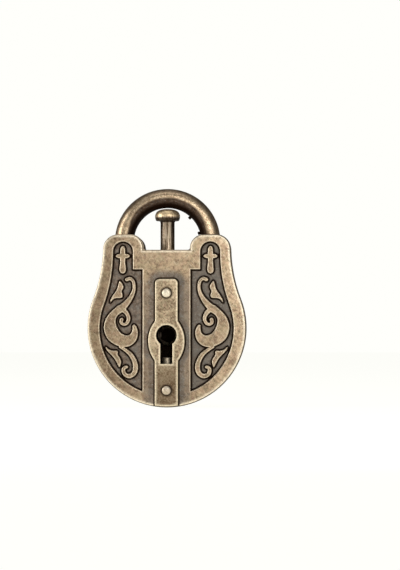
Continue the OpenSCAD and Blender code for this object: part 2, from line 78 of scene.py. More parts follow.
def linear(colour):
    """An sRGB colour, 0 to 255, as Blender's linear RGBA."""
    part = [c / 255 for c in colour]
    return [c / 12.92 if c <= 0.04045 else ((c + 0.055) / 1.055) ** 2.4 for c in part] + [1]


def low_high(node):
    """A CAD node's lowest and highest corners, as arrays."""
    return [np.array(corner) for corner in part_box(node)]


# ---- outlines in the X-Z plane ----

OUTLINE_ANGLE = 0.5           # radians between an outline's two faces, at least
BEVEL_ANGLE = 0.6             # the same for an edge that gets rounded off
SAME_DEPTH = 0.002 * MM


def area(loop):
    """A closed loop's area, with a sign that tells which way round it runs."""
    after = np.roll(loop, -1, 0)
    return float((loop[:, 0] * after[:, 1] - after[:, 0] * loop[:, 1]).sum() / 2)


def loops_at(node, y):
    """Closed loops of the CAD node's sharp edges at depth y, as arrays of (x, z), largest first."""
    bm = bmesh.new()
    bm.from_mesh(NODES[node].data)
    bmesh.ops.remove_doubles(bm, verts=bm.verts, dist=1e-7)
    links = {}
    for e in bm.edges:
        level = all(abs(v.co.y - y) < SAME_DEPTH for v in e.verts)
        if level and len(e.link_faces) == 2 and e.calc_face_angle() > OUTLINE_ANGLE:
            a, b = e.verts
            links.setdefault(a, []).append(b)
            links.setdefault(b, []).append(a)
    loops = []
    while links:
        here = next(iter(links))
        loop = []
        while here in links:
            loop.append((here.co.x, here.co.z))
            ahead = links.pop(here)
            here = next((v for v in ahead if v in links), None)
        loops.append(np.array(loop))
    bm.free()
    return sorted(loops, key=lambda loop: -abs(area(loop)))


def samples(loop, step):
    """Points along a closed loop, at most a step apart, its corners among them."""
    out = []
    for a, b in zip(loop, np.roll(loop, -1, 0)):
        n = max(1, math.ceil(np.linalg.norm(b - a) / step))
        out.append(a + (b - a) * (np.arange(n) / n)[:, None])
    return np.concatenate(out)


def beside(loop, distance, step):
    """Points on both sides of a loop, at a distance from it."""
    line = samples(loop, step)
    along = np.roll(line, -1, 0) - np.roll(line, 1, 0)
    normal = np.stack([along[:, 1], -along[:, 0]], 1)
    normal /= np.maximum(np.linalg.norm(normal, axis=1), 1e-12)[:, None]
    return np.concatenate([line + distance * normal, line - distance * normal])


def nearest(line, points):
    """For each point, the number and distance of the closest point of a sampled line."""
    tree = KDTree(len(line))
    for i, p in enumerate(line):
        tree.insert((p[0], p[1], 0), i)
    tree.balance()
    found = [tree.find((p[0], p[1], 0)) for p in points]
    return np.array([f[1] for f in found]), np.array([f[2] for f in found])


def inside(loop, points):
    """Even-odd test of points against a closed loop."""
    result = np.zeros(len(points), bool)
    x, z = points[:, 0], points[:, 1]
    for (ax, az), (bx, bz) in zip(loop, np.roll(loop, -1, 0)):
        if az != bz:
            crosses = (az > z) != (bz > z)
            result ^= crosses & (x < ax + (z - az) * (bx - ax) / (bz - az))
    return result


def on_plate(outline, holes, points):
    """Which points lie within the outline and in none of the holes."""
    result = inside(outline, points)
    for hole in holes:
        result &= ~inside(hole, points)
    return result


# ---- meshes ----

def add_object(name, mesh):
    obj = bpy.data.objects.new(name, mesh)
    bpy.context.scene.collection.objects.link(obj)
    return obj


def from_bmesh(name, bm):
    bmesh.ops.recalc_face_normals(bm, faces=bm.faces)
    mesh = bpy.data.meshes.new(name)
    bm.to_mesh(mesh)
    bm.free()
    return add_object(name, mesh)


def shade(obj, sharp_deg=50):
    mesh = obj.data
    mesh.polygons.foreach_set("use_smooth", np.ones(len(mesh.polygons), bool))
    mesh.set_sharp_from_angle(angle=math.radians(sharp_deg))


def places(obj):
    """Where the mesh's vertices are, in the object's own frame."""
    co = np.empty(len(obj.data.vertices) * 3, np.float32)
    obj.data.vertices.foreach_get("co", co)
    return co.reshape(-1, 3).astype(float)


def normals(obj):
    out = np.empty(len(obj.data.vertices) * 3, np.float32)
    obj.data.vertex_normals.foreach_get("vector", out)
    return out.reshape(-1, 3).astype(float)


def mark(obj, **marks):
    """Stores, for the materials to read, each vertex's wear and painted glints, grime and painted
    shade, patina and painted shade, and painted shade alone.
    """
    for name, values in marks.items():
        held = obj.data.attributes.get(name) or obj.data.attributes.new(name, "FLOAT", "POINT")
        held.data.foreach_set("value", np.clip(values, 0, 1).astype(np.float32))


def read_mark(obj, name):
    """A mark's value at each vertex."""
    out = np.empty(len(obj.data.vertices), np.float32)
    obj.data.attributes[name].data.foreach_get("value", out)
    return out.astype(float)


def mark_by_shape(obj, patina_and_shade=0.2):
    """Marks convex edges as worn, and darkens hollows with grime and painted shade, from the mesh's
    own curvature.
    """
    co, normal = places(obj), normals(obj)
    ends = np.empty(len(obj.data.edges) * 2, np.int32)
    obj.data.edges.foreach_get("vertices", ends)
    ends = ends.reshape(-1, 2)
    count = np.maximum(np.bincount(ends.ravel(), minlength=len(co)), 1)

    def mean(values):
        total = np.zeros_like(values)
        np.add.at(total, ends[:, 0], values[ends[:, 1]])
        np.add.at(total, ends[:, 1], values[ends[:, 0]])
        return total / (count if values.ndim == 1 else count[:, None])

    length = np.linalg.norm(co[ends[:, 0]] - co[ends[:, 1]], axis=1).mean()
    bend = ((mean(co) - co) * normal).sum(1) / length
    for _ in range(2):
        bend = (bend + mean(bend)) / 2
    hollow = bend
    for _ in range(5):
        hollow = (hollow + mean(hollow)) / 2
    mark(obj, wear_and_glint=smooth(-bend, 0.02, 0.1), grime_and_shade=smooth(hollow, 0.008, 0.06),
         patina_and_shade=np.full(len(co), patina_and_shade))


def cap(bm, rim, outline, holes):
    """Closes a plate's back with a flat face inside the outline and outside the holes."""
    verts = list(dict.fromkeys(v for e in rim for v in e.verts))     # in the same order each run
    number = {v: i for i, v in enumerate(verts)}
    points = [Vector((v.co.x, v.co.z)) / MM for v in verts]
    links = [tuple(number[v] for v in e.verts) for e in rim]
    flat, _, faces, source, *_ = delaunay_2d_cdt(points, links, [], 0, 1e-5)
    flat = np.array(flat) * MM
    for face in faces:
        middle = flat[list(face)].mean(0)[None]
        if on_plate(outline, holes, middle)[0]:
            bm.faces.new([verts[source[i][0]] for i in face])


# A wall's rounded profile: (mm from the wall's line, share of its height)
WALL = [(-0.36, 0), (-0.22, 0.04), (-0.12, 0.17), (-0.04, 0.43),
        (0.04, 0.72), (0.12, 0.88), (0.22, 0.97), (0.36, 1)]
BESIDE_WALL = [s for s, _ in WALL if s > 0] + [0.54, 0.75]   # mm from a wall to its rows of points
BESIDE_GUIDE = (0.15, 0.4, 0.65, 0.9)                        # the same beside a guide line
ROUNDING = (0.03, 0.12, 0.3, 0.6, 1)                         # rows across a rounded edge, as shares
ROW_STEP = 0.22 * MM                                         # between the points of a row
GRID_STEP = 0.5 * MM                                         # between the points of the open areas
GRID_CLEAR = 0.9 * MM                                        # from a wall to those points
GUIDE_CLEAR = 0.8 * MM                                       # from a wall to a guide's points
RIM_CLEAR = 0.015 * MM                                       # from the rims to any other point
OWN_LINE = 0.02 * MM                                         # how exactly a row keeps its distance
FINE_STEP = 0.03 * MM                                        # between the samples of a line
CLOSEST = 0.07 * MM                                          # points nearer than this are merged
FAR = 99 * MM                                                # from a wall, on a plate without any


def spread_points(edges, rounds, walls, guides, edge_lines, wall_lines):
    """Points over a plate's front: rows beside its walls, guides and rounded edges, and an even
    grid between them."""
    all_lines = np.concatenate(edge_lines + wall_lines)
    cloud = [samples(loop, ROW_STEP) for loop, _ in walls]
    rings = [(loop, s * MM) for loop, _ in walls for s in BESIDE_WALL]
    rings += [(loop, share * r) for loop, r in zip(edges, rounds) for share in ROUNDING]
    for loop, distance in rings:
        ring = beside(loop, distance, ROW_STEP)
        cloud.append(ring[np.abs(nearest(all_lines, ring)[1] - distance) < OWN_LINE])
    for loop in guides:
        for distance in BESIDE_GUIDE:
            ring = beside(loop, distance * MM, ROW_STEP)
            cloud.append(ring[nearest(all_lines, ring)[1] > GUIDE_CLEAR])
    low, high = edges[0].min(0), edges[0].max(0)
    columns, rows = (np.arange(low[i] - GRID_STEP, high[i] + GRID_STEP, GRID_STEP) for i in (0, 1))
    grid = np.stack(np.meshgrid(columns, rows), -1)
    grid[::2, :, 0] += GRID_STEP / 2
    grid = grid.reshape(-1, 2)
    cloud.append(grid[nearest(all_lines, grid)[1] > GRID_CLEAR])
    cloud = np.concatenate(cloud)
    cloud = cloud[np.unique(np.round(cloud / CLOSEST), axis=0, return_index=True)[1]]
    return cloud[nearest(np.concatenate(edge_lines), cloud)[1] > RIM_CLEAR]


def triangulate(outline, holes, cloud):
    """Joins a plate's rims and the points between them into triangles: points and faces."""
    rims = [samples(loop, ROW_STEP) for loop in [outline] + holes]
    links, start = [], 0
    for rim in rims:
        n = len(rim)
        links += [(start + i, start + (i + 1) % n) for i in range(n)]
        start += n
    points = np.concatenate(rims + [cloud[on_plate(outline, holes, cloud)]]) / MM
    flat, _, faces, *_ = delaunay_2d_cdt([Vector(p) for p in points], links, [], 0, 1e-5)
    flat, faces = np.array(flat) * MM, np.array(faces)
    kept = on_plate(outline, holes, flat[faces].mean(1))
    used, index = np.unique(faces[kept], return_inverse=True)
    return flat[used], index.reshape(-1, 3)


def wall_depths(flat, walls, wall_lines, floor_y, face_y):
    """The front's depth at each point, and the distance from the nearest wall, positive where the
    front is raised."""
    raised = np.ones(len(flat), bool)
    for loop, depth in walls:
        if depth is None:
            raised &= ~inside(loop, flat)
    for loop, depth in walls:
        if depth is not None:
            raised |= inside(loop, flat)
    top = np.full(len(flat), face_y)
    from_wall = np.full(len(flat), FAR)
    if walls:
        owner = np.concatenate([np.full(len(part), i) for i, part in enumerate(wall_lines)])
        number, from_wall = nearest(np.concatenate(wall_lines), flat)
        tops = np.array([face_y if depth is None else depth for _, depth in walls])
        top = tops[owner[number]]
    signed = np.where(raised, from_wall, -from_wall)
    share = np.interp(signed, [s * MM for s, _ in WALL], [h for _, h in WALL])
    return floor_y + (top - floor_y) * share, signed


def close_plate(name, flat, faces, y, back_y, outline, holes):
    """A closed plate with this front, straight side walls and a flat back."""
    bm = bmesh.new()
    verts = [bm.verts.new((p[0], depth, p[1])) for p, depth in zip(flat, y)]
    for face in faces:
        bm.faces.new([verts[i] for i in face])
    rim = [e for e in bm.edges if len(e.link_faces) == 1]
    made = bmesh.ops.extrude_edge_only(bm, edges=rim)["geom"]
    for v in made:
        if isinstance(v, bmesh.types.BMVert):
            v.co.y = back_y
    back = [e for e in made if isinstance(e, bmesh.types.BMEdge) and len(e.link_faces) == 1]
    cap(bm, back, outline, holes)
    obj = from_bmesh(name, bm)
    shade(obj)
    return obj


def relief_plate(name, outline, holes, walls, floor_y, face_y, back_y, rounding,
                 hole_rounding=0.2 * MM, guides=()):
    """A plate whose front has raised and sunk areas. walls lists (loop, depth of what it raises or
    None where the loop sinks a panel). guides are lines that get rows of points for the marks.
    Returns the plate, its front points and their distances from the nearest wall, positive where
    the front is raised, and from the outline."""
    edges = [outline] + holes
    rounds = [rounding] + [hole_rounding] * len(holes)
    edge_lines = [samples(loop, FINE_STEP) for loop in edges]
    wall_lines = [samples(loop, FINE_STEP) for loop, _ in walls]
    cloud = spread_points(edges, rounds, walls, guides, edge_lines, wall_lines)
    flat, faces = triangulate(outline, holes, cloud)
    y, signed = wall_depths(flat, walls, wall_lines, floor_y, face_y)
    for part, r in zip(edge_lines, rounds):
        d = nearest(part, flat)[1]
        y += np.where(d < r, r - np.sqrt(np.maximum(r * r - (r - d) ** 2, 0)), 0)
    from_edge = nearest(edge_lines[0], flat)[1]
    return close_plate(name, flat, faces, y, back_y, outline, holes), flat, signed, from_edge


def full(values, obj, behind=0.0):
    """Front values, padded with one value for the vertices behind the front."""
    return np.concatenate([values, np.full(len(obj.data.vertices) - len(values), behind)])


def cast_copy(node, name, voxel, rounds):
    """A CAD node as a cast piece: meshed evenly and smoothed, which rounds its edges."""
    obj = add_object(name, NODES[node].data.copy())
    obj.data.materials.clear()
    even = obj.modifiers.new("even", "REMESH")
    even.mode = "VOXEL"
    even.voxel_size = voxel
    relax = obj.modifiers.new("round", "SMOOTH")
    relax.factor = 0.5
    relax.iterations = rounds
    graph = bpy.context.evaluated_depsgraph_get()
    final = bpy.data.meshes.new_from_object(obj.evaluated_get(graph))
    obj.modifiers.clear()
    obj.data = final
    shade(obj, 80)
    return obj


def bevelled_copy(node, name, width, segments=3):
    """A CAD node with its sharp edges rounded off."""
    bm = bmesh.new()
    bm.from_mesh(NODES[node].data)
    bmesh.ops.remove_doubles(bm, verts=bm.verts, dist=1e-7)
    bmesh.ops.dissolve_limit(bm, angle_limit=math.radians(1), verts=bm.verts, edges=bm.edges)
    sharp = [e for e in bm.edges if len(e.link_faces) == 2 and e.calc_face_angle() > BEVEL_ANGLE]
    bmesh.ops.bevel(bm, geom=sharp, offset=width, segments=segments, affect="EDGES", profile=0.5)
    obj = from_bmesh(name, bm)
    shade(obj, 40)
    return obj


def rounded(corners, step=6):
    """Rounds the corners of a lathe profile. Each corner is (radius, height, rounding)."""
    out = [corners[0][:2]]
    for before, here, after in zip(corners, corners[1:], corners[2:]):
        p = np.array(here[:2])
        if not here[2]:
            out.append(tuple(p))
            continue
        a, b = np.array(before[:2]) - p, np.array(after[:2]) - p
        a *= min(here[2], 0.5 * np.linalg.norm(a)) / np.linalg.norm(a)
        b *= min(here[2], 0.5 * np.linalg.norm(b)) / np.linalg.norm(b)
        for k in range(step + 1):
            t = k / step
            out.append(tuple(p + a * (1 - t) ** 2 + b * t ** 2))
    out.append(corners[-1][:2])
    return out


def lathe(bm, profile, turns=64, place=None):
    """Adds a closed solid of revolution. profile lists (radius, height) along the local Z axis;
    place maps the local frame into the object's."""
    rings = []
    for r, h in profile:
        if r < 1e-9:
            rings.append([bm.verts.new((0, 0, h))])
        else:
            angles = [2 * math.pi * k / turns for k in range(turns)]
            rings.append([bm.verts.new((r * math.cos(a), r * math.sin(a), h)) for a in angles])
    for low, high in zip(rings, rings[1:]):
        for k in range(turns):
            j = (k + 1) % turns
            ring = [low[k % len(low)], low[j % len(low)], high[j % len(high)], high[k % len(high)]]
            bm.faces.new(list(dict.fromkeys(ring)))
    for v in (v for ring in rings for v in ring):
        if place:
            v.co = place(v.co)


# ---- materials ----

class Nodes:
    """A material's node tree, with one short call for each kind of node."""

    def __init__(self, name):
        self.material = bpy.data.materials.new(name)
        self.material.use_nodes = True
        self.tree = self.material.node_tree
        self.shader = self.tree.nodes["Principled BSDF"]
        self.place = self.add("ShaderNodeTexCoord").outputs["Object"]

    def add(self, kind, inputs=(), **settings):
        node = self.tree.nodes.new(kind)
        for name, value in settings.items():
            setattr(node, name, value)
        for key, value in dict(inputs).items():
            self.put(node.inputs[key], value)
        return node

    def put(self, socket, value):
        if isinstance(value, bpy.types.NodeSocket):
            self.tree.links.new(value, socket)
        else:
            socket.default_value = value

    def noise(self, size_mm, detail=3, rough=0.55, stretch=(1, 1, 1), turn=(0, 0, 0), seed=0):
        turned = self.add("ShaderNodeMapping", {"Vector": self.place, "Rotation": turn})
        mapped = self.add("ShaderNodeMapping", {
            "Vector": turned.outputs[0], "Location": (seed, seed, seed),
            "Scale": [s / (size_mm * MM) for s in stretch]})
        return self.add("ShaderNodeTexNoise", {
            "Vector": mapped.outputs[0], "Scale": 1.0, "Detail": detail,
            "Roughness": rough}).outputs["Fac"]

    def span(self, value, low, high, to_low=0.0, to_high=1.0):
        return self.add("ShaderNodeMapRange", {
            0: value, 1: low, 2: high, 3: to_low, 4: to_high}).outputs[0]

    def math(self, operation, a, b=0.0, c=0.0, clamp=False):
        return self.add("ShaderNodeMath", {0: a, 1: b, 2: c},
                        operation=operation, use_clamp=clamp).outputs[0]

    def mix(self, share, a, b):
        node = self.add("ShaderNodeMix", data_type="RGBA")
        for key, value in (("Factor_Float", share), ("A_Color", a), ("B_Color", b)):
            self.put(next(s for s in node.inputs if s.identifier == key), value)
        return next(s for s in node.outputs if s.identifier == "Result_Color")

    def mark(self, name):
        return self.add("ShaderNodeAttribute", attribute_name=name).outputs["Fac"]

    def bump(self, height, depth_mm, strength=1.0):
        return self.add("ShaderNodeBump", {
            "Strength": strength, "Distance": depth_mm * MM, "Height": height}).outputs[0]

    def finish(self, **sockets):
        for name, value in sockets.items():
            self.put(self.shader.inputs[name.replace("_", " ")], value)
        return self.material


# sRGB tints: patches and painted shade of the plain metal, then patches, areas and specks of the
# patina, then the grime and painted shade
PINK, GREEN, SHADE = (204, 160, 138), (172, 172, 134), (84, 60, 36)
COOL, WARM, CHILL, GLINT = (130, 125, 116), (106, 84, 68), (112, 108, 100), (176, 182, 178)
GRIME_SHADE = (34, 20, 11)
TONE_MIDDLE, TONE_SPREAD = 0.56, 0.11      # the mottling's tone, and how far it goes to each side


def antique(name, light, mid, dark, patina_and_shade, rubbed, stretch=(1, 1, 1), size=1.1, gloss=0.42,
            contrast=1.0, cool_share=0.12, seed=0):
    """Antique bronze plate: mottled tan where it is rubbed, grey-brown patina in sunk areas and as
    painted shade where marked, near-black grime and painted shade at the foot of walls, bright
    metal along edges and painted glints where marked. size is that of a blotch in mm, cool_share
    how far the patina drifts to grey."""
    m = Nodes(name)
    # the plain metal: mottled, with coloured patches, scratches and flecks
    blotch = m.noise(size, 5, 0.62, stretch, seed=seed)
    cloud = m.noise(size * 3.4, 3, 0.5, stretch, seed=seed + 3)
    grain = m.noise(size * 0.28, 3, 0.6, stretch, seed=seed + 7)
    streak = m.noise(size * 0.7, 3, 0.55, (1, 1, 0.22), (0, 0.7, 0), seed=seed + 11)
    tone = m.math("MULTIPLY_ADD", blotch, 0.5, m.math("MULTIPLY", grain, 0.28))
    tone = m.math("ADD", tone, m.math("MULTIPLY_ADD", streak, 0.14, m.math("MULTIPLY", cloud, 0.2)))
    drift = m.noise(size * 9, 2, 0.5, seed=seed + 61)
    tone = m.math("MULTIPLY_ADD", m.math("SUBTRACT", drift, 0.5), 0.16, tone)
    spread = TONE_SPREAD / contrast
    tone = m.span(tone, TONE_MIDDLE - spread, TONE_MIDDLE + spread)
    colour = m.mix(m.span(tone, 0.0, 0.5), linear(dark), linear(mid))
    colour = m.mix(m.span(tone, 0.45, 1.0), colour, linear(light))
    tint = m.span(m.noise(size * 1.5, 3, 0.6, seed=seed + 19), 0.45, 0.68, 0, 0.32)
    colour = m.mix(tint, colour, linear(PINK))
    green = m.span(m.noise(size * 1.7, 3, 0.6, seed=seed + 23), 0.46, 0.68, 0, 0.28)
    colour = m.mix(green, colour, linear(GREEN))
    for turn, offset in ((0.7, 41), (-0.5, 43)):
        scratch = m.noise(size * 0.25, 2, 0.5, (1, 1, 0.07), (0, turn, 0), seed=seed + offset)
        colour = m.mix(m.span(scratch, 0.6, 0.72, 0, 0.5), colour, linear(rubbed))
    # painted shade: darker towards the SHADE tint where the mark for it is set
    colour = m.mix(m.span(m.mark("painted_shade"), 0, 1, 0, 0.75), colour, linear(SHADE))
    fleck = m.span(m.noise(size * 0.35, 3, 0.7, seed=seed + 59), 0.6, 0.7, 0, 0.45)
    colour = m.mix(fleck, colour, linear(light))
    # patina, and painted shade where its mark puts it, uneven, with grey and brown patches and
    # paler specks
    uneven = m.math("MULTIPLY_ADD", m.math("SUBTRACT", blotch, 0.5), 0.7, m.mark("patina_and_shade"))
    sunk = m.span(uneven, 0.16, 0.84)
    specks = m.span(m.noise(size * 0.4, 3, 0.7, seed=seed + 31), 0.6, 0.72, 0, 0.55)
    deep = m.mix(m.span(tone, 0.1, 0.9), linear([c * 0.72 for c in patina_and_shade]),
                 linear([c * 1.2 for c in patina_and_shade]))
    cool = m.span(m.noise(size * 3.2, 4, 0.6, seed=seed + 37), 0.46, 0.62, 0, cool_share)
    deep = m.mix(cool, deep, linear(COOL))
    warm = m.span(m.noise(size * 2.4, 4, 0.6, seed=seed + 47), 0.48, 0.64, 0, 0.55)
    deep = m.mix(warm, deep, linear(WARM))
    deep = m.mix(m.mark("chill"), deep, linear(CHILL))
    deep = m.mix(specks, deep, linear([min(255, c * 1.5) for c in patina_and_shade]))
    glint = m.span(m.noise(size * 0.5, 2, 0.6, seed=seed + 53), 0.64, 0.7, 0, 0.55)
    deep = m.mix(glint, deep, linear(GLINT))
    colour = m.mix(sunk, colour, deep)
    # bright rubbed edges, and painted glints where the same mark puts them
    patchy = m.span(m.math("ADD", blotch, grain), 0.75, 1.05, 0.45, 1.0)
    rub_and_glint = m.math("MULTIPLY", m.mark("wear_and_glint"), patchy)
    colour = m.mix(rub_and_glint, colour, linear(rubbed))
    # grime and painted shade in the corners and wherever their mark puts them
    grime_and_shading = m.math("MULTIPLY", m.mark("grime_and_shade"), m.span(grain, 0.25, 0.5, 0.8, 1.0), clamp=True)
    colour = m.mix(grime_and_shading, colour, linear(GRIME_SHADE))
    # roughness, metal and the fine unevenness of the surface
    rough = m.math("MULTIPLY_ADD", sunk, 0.12, m.math("MULTIPLY_ADD", grain, 0.16, gloss - 0.06))
    rough = m.math("MULTIPLY_ADD", grime_and_shading, 0.25, m.math("MULTIPLY_ADD", rub_and_glint, 0.04, rough))
    metal = m.math("MULTIPLY_ADD", grime_and_shading, 0.2, m.math("MULTIPLY_ADD", sunk, -0.15, 0.95), clamp=True)
    height = m.math("MULTIPLY_ADD", blotch, 0.6, m.math("MULTIPLY", grain, 0.4))
    return m.finish(Base_Color=colour, Metallic=metal, Roughness=rough,
                    Normal=m.bump(height, 0.05, 0.6))


def plain_metal(name, light, dark, gloss, stretch=(1, 1, 1)):
    """Sheet metal, brass or steel inside the lock: brushed, lightly stained."""
    size = 1.2       # of the stains, in mm
    m = Nodes(name)
    stain = m.noise(size * 3, 4, 0.6)
    brushed = m.noise(size * 0.2, 3, 0.6, stretch)
    colour = m.mix(m.span(stain, 0.3, 0.7), linear(dark), linear(light))
    colour = m.mix(m.span(brushed, 0.3, 0.7, 0, 0.25), colour, linear([c * 0.6 for c in dark]))
    rough = m.math("MULTIPLY_ADD", brushed, 0.2, m.math("MULTIPLY_ADD", stain, 0.15, gloss - 0.15))
    return m.finish(Base_Color=colour, Metallic=1.0, Roughness=rough,
                    Normal=m.bump(brushed, 0.01, 0.5))


CAST = antique("cast_bronze", light=(228, 202, 166), mid=(188, 162, 131), dark=(126, 105, 84),
               patina_and_shade=(126, 112, 98), rubbed=(255, 240, 212), contrast=1.05, cool_share=0.55)
CASE = antique("case_bronze", light=(212, 188, 154), mid=(174, 151, 122), dark=(124, 105, 85),
               patina_and_shade=(118, 104, 90), rubbed=(236, 216, 186), seed=5)
STRAP = antique("strap_bronze", light=(218, 196, 162), mid=(176, 154, 124), dark=(120, 100, 78),
                patina_and_shade=(98, 82, 64), rubbed=(255, 238, 204), size=0.8, contrast=1.8, seed=9)
RIVET = antique("rivet_bronze", light=(255, 248, 232), mid=(238, 222, 196), dark=(196, 174, 146),
                patina_and_shade=(120, 100, 84), rubbed=(252, 244, 222), size=0.8, gloss=0.5, seed=13)
# the shackle's and the plunger's dark patina colours are mostly painted shade on their sides
ROD = antique("shackle_bronze", light=(248, 224, 188), mid=(214, 186, 150), dark=(150, 126, 98),
              patina_and_shade=(70, 52, 37), rubbed=(244, 222, 186), size=0.45, gloss=0.36,
              contrast=2.0, seed=17)
STEM = antique("plunger_bronze", light=(255, 236, 208), mid=(198, 174, 146), dark=(88, 70, 54),
               patina_and_shade=(58, 43, 31), rubbed=(250, 222, 176), size=0.5, stretch=(1, 1, 0.05),
               gloss=0.4, contrast=2.4, seed=21)
STEEL = plain_metal("steel", (176, 178, 182), (128, 128, 132), 0.4)
SPRING = plain_metal("spring_steel", (150, 154, 162), (104, 108, 116), 0.3)
BRASS = plain_metal("brass", (206, 172, 104), (160, 126, 72), 0.38, stretch=(0.1, 1, 1))
# near-black sleeve and ring: painted shade for the inside seen through the keyhole; the sleeve's
# rubbed colour is its painted glint
DARK = antique("dark_bush", light=(22, 20, 18), mid=(15, 14, 12), dark=(10, 9, 8),
               patina_and_shade=(12, 11, 10), rubbed=(190, 176, 158), size=0.8, gloss=0.85, seed=25)
BLACK = plain_metal("black_painted_shade", (34, 30, 28), (18, 16, 16), 0.6)


def dress(obj, material, body, slot, *nodes):
    """Gives a piece its material, the body it rides on and the CAD nodes it stands for."""
    obj.data.materials.clear()
    obj.data.materials.append(material)
    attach(obj, body)
    if nodes:
        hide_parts(*nodes)


# ---- front cover ----

FACE_Y = low_high("front_cover")[0][1]
JOINT_Y, BACK_Y = (corner[1] for corner in low_high("rear_case"))
STRAP_Y, STRAP_BACK_Y = (corner[1] for corner in low_high("escutcheon"))
PANEL_DEPTH = 1.1 * MM
ORNAMENT_Y = FACE_Y + 0.1 * MM
COVER_ROUNDING = 0.4 * MM
STRAP_ROUNDING = 0.5 * MM
KEYHOLE_ROUNDING = 0.35 * MM
LINE_STEP = 0.05 * MM          # between the samples of a line that distances are taken from


def most(*values):
    """The largest of several marks at each vertex."""
    out = values[0]
    for value in values[1:]:
        out = np.maximum(out, value)
    return out


def make_cover():
    outline, *panels, keyhole = loops_at("front_cover", FACE_Y)[:4]
    ornaments = loops_at("front_cover", ORNAMENT_Y)
    walls = [(loop, None) for loop in panels] + [(loop, ORNAMENT_Y) for loop in ornaments]
    strap = loops_at("escutcheon", STRAP_Y)[0]
    obj, flat, signed, from_edge = relief_plate(
        "cover", outline, [keyhole], walls, FACE_Y + PANEL_DEPTH, FACE_Y, JOINT_Y, COVER_ROUNDING,
        guides=[strap])
    # all in mm: past the nearest wall, from the outline, from the strap, and the place itself
    wall, edge = signed / MM, from_edge / MM
    halo = nearest(samples(strap, LINE_STEP), flat)[1] / MM
    x, z = flat[:, 0] / MM, flat[:, 1] / MM

    rubbed_wall = 0.8 * smooth(wall, -0.06, 0.06) * (1 - smooth(wall, 0.15, 0.55))
    rubbed_edge = 1 - smooth(edge, 0.3, 0.75)
    # painted shade: dark lines at the foot of the walls and round the strap, partly dark patina in
    # the corner; the outermost rounded rim, where it turns away, and the plate's sides and back are
    # darkened too
    foot = (1 - smooth(np.abs(wall + 0.3), 0.24, 0.56)) * smooth(-wall, -0.04, 0.12)
    strap_foot = 1 - smooth(halo, 0.35, 0.75)
    shaded_rim = 0.6 * (1 - smooth(edge, 0.01, 0.14))
    sunk = 0.95 * (1 - smooth(wall, -0.4, -0.05))
    near_strap = 0.7 * (1 - smooth(halo, 1.6, 4.6))
    band = 0.45 * ((1 - smooth(np.abs(x), 8.6, 10.2)) * smooth(-z, 12, 19))
    ornament = np.zeros(len(flat), bool)
    for loop in ornaments:
        ornament |= inside(loop, flat)
    # painted shade: the left, the bottom, the ornaments and the middle made darker
    left_and_low = 0.5 * smooth(-x, 8, 28) + 0.25 * smooth(-z, 44, 66)
    middle = 0.22 * (1 - smooth(np.abs(x), 14, 18))
    mark(obj, wear_and_glint=full(most(rubbed_wall, rubbed_edge), obj),
         grime_and_shade=full(most(foot, strap_foot, shaded_rim), obj, 0.7),
         patina_and_shade=full(most(sunk, near_strap, band), obj, 0.8) + 0.1,
         painted_shade=full(most(left_and_low, 0.3 * ornament, middle), obj),
         chill=full(0.5 * smooth(x, -6, 16), obj))
    dress(obj, CAST, "case", "cast_bronze", "front_cover")


def make_strap():
    outline, keyhole = loops_at("escutcheon", STRAP_Y)[:2]
    obj, flat, _, from_edge = relief_plate(
        "strap", outline, [keyhole], [], STRAP_Y, STRAP_Y, STRAP_BACK_Y, STRAP_ROUNDING,
        KEYHOLE_ROUNDING)
    from_hole = nearest(samples(keyhole, LINE_STEP), flat)[1] / MM
    edge = from_edge / MM
    rubbed = 0.85 * most(1 - smooth(edge, 0.35, 0.85), 1 - smooth(from_hole, 0.3, 0.8))
    ring = np.zeros(len(flat))
    for z in rivet_places():
        away = np.hypot(flat[:, 0], flat[:, 1] - z) / MM
        ring = most(ring, 1 - smooth(away, 1.8, 3.1))
    # painted shade: the strap's outermost rounded edge and its sides, and its lower part, made
    # darker
    shaded_rim = 0.7 * (1 - smooth(edge, 0.03, 0.24))
    mark(obj, wear_and_glint=full(rubbed, obj), grime_and_shade=full(most(0.75 * ring ** 2, shaded_rim), obj, 0.9),
         patina_and_shade=full(0.75 * ring, obj) + 0.1,
         painted_shade=full(0.85 * smooth(-flat[:, 1] / MM, 44, 56), obj))
    dress(obj, STRAP, "case", "strap_bronze", "escutcheon")


def rivet_places():
    """Heights of the upper and the lower rivet."""
    low, high = low_high("escutcheon_rivets")
    radius = high[0]
    return high[2] - radius, low[2] + radius


def make_rivets():
    low, high = low_high("escutcheon_rivets")
    radius, top, end = high[0], low[1], high[1]
    shank, tail = 1.0 * MM, 1.6 * MM
    rise = STRAP_Y - top
    dome_steps = 12
    dome = [(radius * math.sin(a), top + rise * (1 - math.cos(a) ** 0.8)) for a in
            (math.pi / 2 * k / dome_steps for k in range(dome_steps))]
    body = [(radius, STRAP_Y), (shank, STRAP_Y + 0.02 * MM), (shank, JOINT_Y)]
    body += rounded([(shank, JOINT_Y), (tail, JOINT_Y, 0.05 * MM), (tail, end, 0.3 * MM), (0, end)])
    bm = bmesh.new()
    for z in rivet_places():
        lathe(bm, dome + body, 48, lambda p, z=z: Vector((p.x, p.z, p.y + z)))
    obj = from_bmesh("rivets", bm)
    shade(obj)
    co = places(obj)
    lower = co[:, 2] < np.mean(rivet_places())
    # painted shade: each dome darker towards its edge; the upper rivet's top rubbed bright, the
    # lower rivet darker
    edge = smooth(co[:, 1], STRAP_Y - 0.45 * MM, STRAP_Y)
    mark(obj, wear_and_glint=np.where(lower, 0.0, 0.5), grime_and_shade=0.6 * edge,
         patina_and_shade=np.where(lower, 0.32, 0.0) + 0.5 * edge)
    dress(obj, RIVET, "case", "rivet_bronze", "escutcheon_rivets")


# ---- case, shackle and plunger ----

